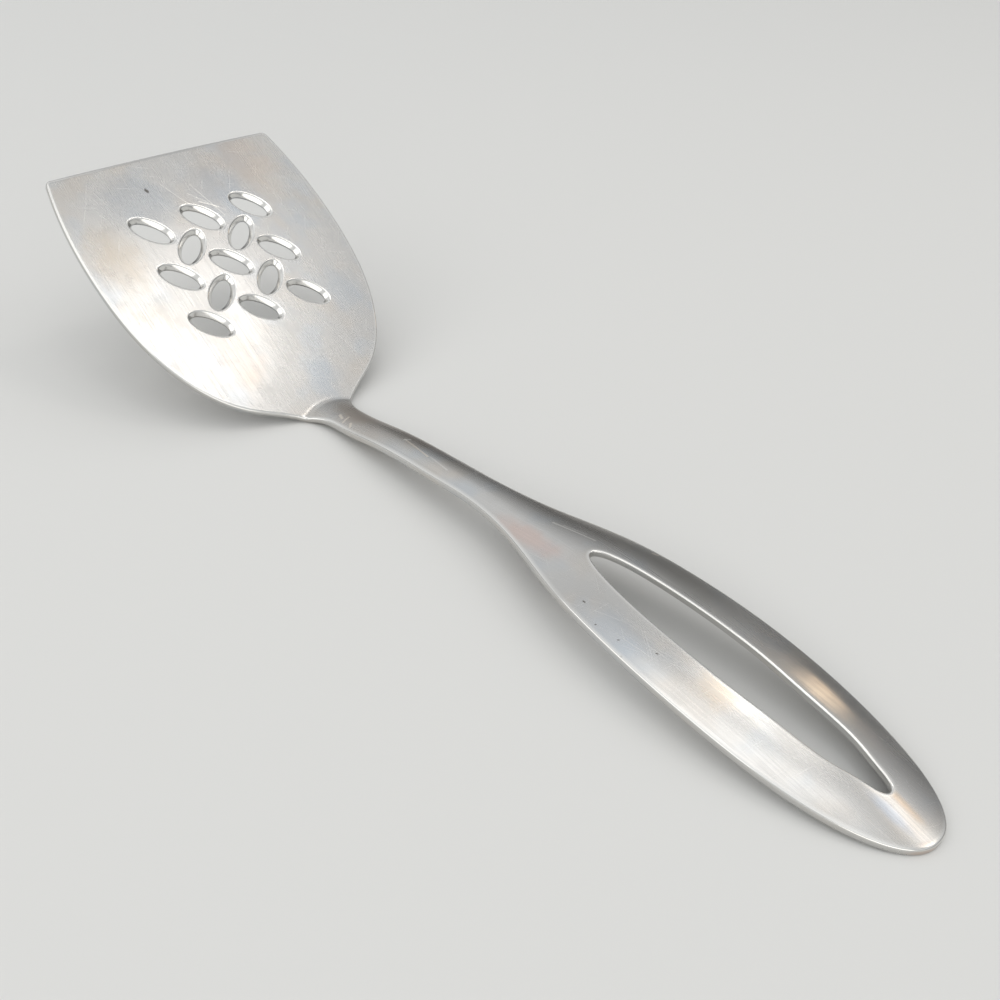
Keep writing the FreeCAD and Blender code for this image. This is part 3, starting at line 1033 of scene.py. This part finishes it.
@dataclass(frozen=True)
class SatinStainless:
    """Stainless steel sheet, brushed to a satin along its length and worn by use.

    The brushing blurs what it reflects into soft patches. Heat and washing leave faint
    straw and blue films, handling leaves fine bright scratches, and the tumbled edges
    and the lips of the holes are polished, so they reflect sharply; they are also painted
    lighter, a painted highlight along them. Darker warm patches along the neck and the far
    side of the handle are partly heat tint and partly painted dark reflection, and a pink
    band on the near side of the neck is a painted reflection.

    Such brushing is usually about 0.1 mm apart. It is drawn 0.35 mm apart, because a
    finer one wouldn't show, and the handling scratches are drawn wide for that reason.

    The clouds are, in order, the straw film, the blue film, a fine mottle and dull spots.
    """

    name: str = "satin_stainless_brushed"
    base: str = "#c6c5c3"
    roughness: float = 0.22
    grain_pitch: float = 0.35
    grain_length: float = 22.0
    scratch_pitch: float = 0.55
    grain: Film = Film("#b6b5b2", 0.16, rougher=0.05, raised=0.25)
    grain_seed: float = 3.0
    grain_span: tuple[float, float] = (0.3, 0.75)
    streak_detail: float = 2.0
    handling: Film = Film("#dfdedb", 0.2, rougher=0.03, raised=-0.2)
    handling_span: tuple[float, float] = (0.67, 0.75)
    # Polished edges and hole lips: less rough, and painted lighter, a painted highlight along
    # them.
    burnish_and_highlight: Film = Film("#e0dfdc", 1.0, rougher=-0.11)
    wave_height: float = 14.0
    wave_length: float = 9.0
    wave_seed: float = 17.0
    wave_detail: float = 1.0
    fray_size: float = 5.0
    fray_seed: float = 53.0
    fray_detail: float = 3.0
    fray_depth: float = 0.8
    clouds: tuple[Cloud, ...] = (
        Cloud(Film("#c9bfb3", 0.4), 17.0, 2.0, 0.0, 0.48, 0.7),
        Cloud(Film("#b7c0c9", 0.4), 13.0, 2.0, 31.0, 0.48, 0.7),
        Cloud(Film("#aeaca9", 0.12, rougher=0.02), 3.5, 3.0, 7.0, 0.45, 0.75),
        Cloud(Film("#bdbcb8", 0.25, rougher=0.05), 24.0, 3.0, 71.0, 0.4, 0.7),
    )
    handling_runs: tuple[tuple[float, float, float], ...] = (
        (18, 26, 11.0), (-35, 18, 23.0), (72, 14, 41.0), (4, 34, 5.0))
    stains_and_painted_reflections: tuple[StainAndPaintedReflection, ...] = (
        StainAndPaintedReflection((-72, 24, 48), (16, 14, 14), Film("#c7b9ac", 0.5)),
        StainAndPaintedReflection((-54, -31, 37), (18, 11, 14), Film("#b9ad9c", 0.5)),
        StainAndPaintedReflection((-66, 8, 45), (14, 16, 12), Film("#b3b4b5", 0.5)),
        StainAndPaintedReflection((-18, -16, 14), (12, 10, 12), Film("#ccbdb1", 0.45)),
        StainAndPaintedReflection((-67, -16, 45), (17, 18, 13), Film("#a6aaae", 0.55)),
        StainAndPaintedReflection((-60, 14, 41), (14, 9, 12), Film("#b1bac4", 0.45)),
        StainAndPaintedReflection((-27, 28, 20), (12, 10, 12), Film("#b2bbc4", 0.4)),
        StainAndPaintedReflection((-7, 5, 7), (9, 7, 9), Film("#b3bbc3", 0.35)),
        # Darker warm patches along the neck and the far side of the handle: partly heat tint,
        # partly a painted dark reflection of the dim surroundings on that side.
        StainAndPaintedReflection((14, 2, 5), (18, 8, 8), Film("#98897b", 0.65, rougher=0.04), 0.4),
        StainAndPaintedReflection((40, 5, 9), (38, 6, 6), Film("#7b6e63", 0.6, rougher=0.03), 0.3),
        StainAndPaintedReflection((84, 9, 12), (38, 9, 6), Film("#776e65", 0.6, rougher=0.03), 0.25),
        StainAndPaintedReflection((116, 13, 11), (32, 10, 6), Film("#85827c", 0.55, rougher=0.02), 0.25),
        StainAndPaintedReflection((163, 10, 8), (24, 8, 6), Film("#c9c7c3", 0.3, rougher=-0.11)),
        # Pink band on the near side of the neck: a painted warm reflection.
        StainAndPaintedReflection((90, -6, 12), (16, 4.5, 4), Film("#d0b6ac", 0.55)),
        StainAndPaintedReflection((124, -14, 10), (14, 8, 5), Film("#b0bac5", 0.4)),
        StainAndPaintedReflection((150, -8, 10), (8, 8, 4), Film("#d3c0a8", 0.45)),
        # Narrow blue and warm bands along the tail, and a warm patch at its tip.
        StainAndPaintedReflection((189, -4, 4), (9, 1.8, 4), Film("#a4b3c7", 0.5)),
        StainAndPaintedReflection((189, 0, 4), (9, 1.6, 4), Film("#d6bb9d", 0.5)),
        StainAndPaintedReflection((197.5, -4, 1), (4, 7, 1.4), Film("#be9070", 0.6)),
    )
    scratches: tuple[Scratch, ...] = (
        Scratch((90.5, 1.7, 13.0), (102.1, 4.1, 13.4), 0.5, BRIGHT),
        Scratch((93.0, 2.9, 13.1), (99.0, 4.4, 13.4), 0.35, FAINT),
        Scratch((35.9, 0.7, 8.6), (47.0, -0.9, 9.9), 0.6, DENT),
        Scratch((48.0, -0.6, 10.0), (55.5, -1.6, 10.6), 0.4, FAINT),
        Scratch((36.0, 0.5, 8.6), (36.8, 1.6, 8.7), 0.9, BRIGHT),
        Scratch((10.1, -1.7, 4.4), (12.0, -2.5, 4.6), 0.9, DENT),
        Scratch((13.2, -1.0, 4.9), (13.8, -3.6, 4.8), 0.6, DENT),
        Scratch((16.4, -2.8, 5.2), (17.4, -3.8, 5.2), 0.8, DENT),
        Scratch((112.6, 13.6, 10.9), (113.6, 14.3, 10.9), 0.7, DENT),
        Scratch((146.2, -6.7, 10.7), (147.6, -6.9, 10.6), 0.7, BRIGHT),
        Scratch((123.1, -18.1, 9.2), (123.5, -18.0, 9.2), 0.5, PIT),
        Scratch((129.0, -17.1, 9.3), (129.3, -17.0, 9.3), 0.45, PIT),
        Scratch((126.0, -14.6, 10.2), (126.3, -14.4, 10.2), 0.4, PIT),
        Scratch((119.6, -14.9, 10.4), (119.8, -14.8, 10.4), 0.35, PIT),
        Scratch((113.4, -12.2, 11.6), (113.9, -12.2, 11.6), 0.4, PIT),
        Scratch((134.4, -11.6, 10.6), (134.8, -11.4, 10.6), 0.35, PIT),
        Scratch((140.0, 5.9, 11.4), (140.6, 7.2, 11.3), 0.4, BRIGHT),
        Scratch((-69.9, -11.3, 46.8), (-69.4, -11.0, 46.5), 0.9, PIT),
        Scratch((-68.3, 2.6, 45.9), (-57.2, 7.1, 39.0), 0.35, FAINT),
        Scratch((-66.0, 0.2, 44.5), (-58.5, 8.2, 39.8), 0.3, FAINT),
        Scratch((-62.9, 2.1, 42.5), (-60.0, 6.8, 40.7), 0.4, BRIGHT),
        Scratch((-70.4, -6.0, 47.2), (-63.0, -1.5, 42.6), 0.3, FAINT),
    )

    def material(self, bend_place: float) -> bpy.types.Material:
        """Make the material.

        Args:
            bend_place: X of the bend in the frame of the part, in millimetres.

        Returns:
            The material, all of nodes on Object coordinates and the polish attribute.
        """
        material = bpy.data.materials.new(self.name)
        material.use_nodes = True
        tree = material.node_tree
        tree.nodes.clear()
        coordinates = add_node(tree, "ShaderNodeTexCoord")
        place = add_node(tree, VECTOR_MATH, {
            0: coordinates.outputs["Object"], 1: (1 / MM,) * 3,
            2: (-bend_place, 0, 0)}, operation="MULTIPLY_ADD").outputs[0]
        surface = SteelSurface(tree, place, linear_colour(self.base), self.roughness)
        surface.height = add_node(tree, MATH, {
            0: surface.noise((self.wave_length,) * 3, (self.wave_seed, 0, self.wave_seed),
                             self.wave_detail),
            1: self.wave_height}, operation="MULTIPLY").outputs[0]
        for cloud in self.clouds:
            cloud.lay_on(surface)
        frays = add_node(tree, MATH, {
            0: surface.noise((self.fray_size,) * 3, (self.fray_seed, 0, self.fray_seed),
                             self.fray_detail),
            1: self.fray_depth, 2: -self.fray_depth / 2}, operation="MULTIPLY_ADD")
        # Lay the stains and the painted reflections of the list.
        for patch in self.stains_and_painted_reflections:
            patch.lay_on(surface, frays.outputs[0])
        streaks = surface.noise((self.grain_length, self.grain_pitch, self.grain_length),
                                (self.grain_seed, self.grain_seed, 0), self.streak_detail)
        surface.lay(self.grain, streaks, *self.grain_span)
        for turn, length, seed in self.handling_runs:
            streaks = surface.noise((length, self.scratch_pitch, length), (seed, seed, 0),
                                    self.streak_detail, turn)
            surface.lay(self.handling, streaks, *self.handling_span)
        for scratch in self.scratches:
            scratch.lay_on(surface, frays.outputs[0])
        # The polish attribute lays smoother steel and a painted highlight, a lighter colour, on
        # the edges and the lips of the holes.
        polish_and_highlight = add_node(tree, "ShaderNodeAttribute", attribute_name="polish_and_highlight")
        surface.lay(self.burnish_and_highlight, polish_and_highlight.outputs["Fac"], 0.0, 1.0)
        bump = add_node(tree, "ShaderNodeBump", {
            "Height": surface.height, "Strength": 1.0, "Distance": MICROMETRE})
        shader = add_node(tree, "ShaderNodeBsdfPrincipled", {
            "Base Color": surface.colour, "Metallic": 1.0, "Roughness": surface.roughness,
            "Normal": bump.outputs["Normal"],
        })
        add_node(tree, "ShaderNodeOutputMaterial", {"Surface": shader.outputs["BSDF"]})
        return material


@dataclass(frozen=True)
class Lamp:
    """One soft rectangular lamp: its middle, the point that it faces, and its size."""

    name: str
    place: tuple[float, float, float]
    target: tuple[float, float, float]
    size: tuple[float, float]
    watts: float
    colour: str

    def build(self) -> bpy.types.Object:
        """Add the lamp to the scene.

        Returns:
            The lamp.
        """
        data = bpy.data.lights.new(self.name, "AREA")
        data.shape = "RECTANGLE"
        data.size, data.size_y = (side * MM for side in self.size)
        data.energy = self.watts
        data.color = linear_colour(self.colour)[:3]
        made = add_object(self.name, data)
        made.location = Vector(self.place) * MM
        aim = (Vector(self.target) - Vector(self.place)).to_track_quat("-Z", "Y")
        made.rotation_euler = aim.to_euler()
        return made


@dataclass
class Studio:
    """Floor, lamps, world and camera."""

    floor_half: float = 3000.0
    floor_colour: str = "#dcdcda"
    sensor_width: float = 36.0
    clip: tuple[float, float] = (0.01, 20.0)
    camera_place: tuple[float, float, float] = (164.66, -160.82, 179.78)
    camera_right: tuple[float, float, float] = (0.69406, 0.71699, 0.06484)
    camera_down: tuple[float, float, float] = (0.47399, -0.38732, -0.79077)
    camera_ahead: tuple[float, float, float] = (-0.54186, 0.57957, -0.60867)
    focal_share: float = 1.09839
    sky: tuple[tuple[float, float], ...] = (
        (0.0, 0.16), (0.18, 0.22), (0.305, 0.34), (0.45, 0.5), (0.635, 0.86), (0.78, 0.77),
        (0.851, 0.58), (0.926, 1.0), (1.0, 1.15))
    sky_lean: tuple[float, float, float] = (0.1, -0.2, 0.75)
    sky_level: float = 0.25
    sky_tint: tuple[float, float, float] = (0.985, 0.995, 1.0)
    lamps: tuple[Lamp, ...] = (
        Lamp("key", (22, 380, 926), (-90, -29, 23), (150, 180), 0.34, "#fffaf5"),
        Lamp("overhead", (80, 30, 1000), (92, -14, 6), (520, 240), 0.37, "#fffaf4"),
        Lamp("fill", (-246, -827, 574), (-40, 0, 15), (900, 420), 1.3, "#fffdfa"),
        Lamp("room", (1440, -1050, 520), (-80, 0, 20), (1600, 760), 4.6, "#fffcf6"),
        Lamp("tail", (423, 536, 794), (134, -3, 3), (300, 220), 0.34, "#fff6ec"),
        Lamp("window", (28, 920, 420), (103, 10, 8), (60, 240), 0.055, "#ffdfb8"),
        Lamp("side", (-760, 100, 720), (40, 0, 10), (1000, 900), 0.3, "#fbfdff"),
    )

    def floor(self) -> bpy.types.Object:
        """Plain pale floor under the spatula.

        Matt paper scatters what falls on it, so it shows soft shadows and no reflection.

        Returns:
            The floor's object.
        """
        half = self.floor_half * MM
        mesh = bpy.data.meshes.new("floor")
        mesh.from_pydata([(-half, -half, 0), (half, -half, 0), (half, half, 0), (-half, half, 0)],
                         [], [(0, 1, 2, 3)])
        material = bpy.data.materials.new("matt_paper")
        material.use_nodes = True
        shader = material.node_tree.nodes["Principled BSDF"]
        shader.inputs["Base Color"].default_value = linear_colour(self.floor_colour)
        shader.inputs["Roughness"].default_value = 0.9
        mesh.materials.append(material)
        return add_object("floor", mesh)

    def camera(self) -> bpy.types.Object:
        """Set the camera at the photograph's place, angle and width of view.

        Returns:
            The camera.
        """
        data = bpy.data.cameras.new("camera")
        data.sensor_width = self.sensor_width
        data.lens = data.sensor_width * self.focal_share
        data.clip_start, data.clip_end = self.clip
        made = add_object("camera", data)
        right, down, ahead = (Vector(v).normalized()
                              for v in (self.camera_right, self.camera_down, self.camera_ahead))
        turn = Matrix((right, -down, -ahead)).transposed().to_4x4()
        made.matrix_world = Matrix.Translation(Vector(self.camera_place) * MM) @ turn
        bpy.context.scene.camera = made
        return made

    def world(self) -> None:
        """Soft surroundings, dim round the horizon and pale overhead."""
        world = bpy.data.worlds.new("studio")
        world.use_nodes = True
        tree = world.node_tree
        place = add_node(tree, "ShaderNodeTexCoord")
        height = add_node(tree, VECTOR_MATH, {
            0: place.outputs["Generated"], 1: self.sky_lean}, operation="DOT_PRODUCT")
        raised = add_node(tree, MATH, {0: height.outputs["Value"], 1: self.sky_level})
        ramp = add_node(tree, "ShaderNodeValToRGB", {"Fac": raised.outputs[0]})
        stops = ramp.color_ramp.elements
        while len(stops) < len(self.sky):
            stops.new(1.0)
        for stop, (position, level) in zip(stops, self.sky):
            stop.position = position
            stop.color = (*(level * share for share in self.sky_tint), 1.0)
        background = tree.nodes["Background"]
        tree.links.new(ramp.outputs["Color"], background.inputs["Color"])
        bpy.context.scene.world = world

    def build(self) -> None:
        """Set the whole stage."""
        scene = bpy.context.scene
        scene.view_settings.view_transform = "Standard"
        self.floor()
        self.camera()
        self.world()
        for lamp in self.lamps:
            lamp.build()


def main() -> None:
    """Build the spatula and the studio, and log how many points the sheet has."""
    logging.basicConfig(level=logging.INFO, format="%(message)s")
    spatula = Spatula()
    piece = spatula.build()
    piece.data.materials.append(SatinStainless().material(spatula.bend_place()))
    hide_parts(NODE)
    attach(piece, "root")
    LOG.info("%s: %d points", piece.name, len(piece.data.vertices))
    Studio().build()


if __name__ == "__main__":
    main()
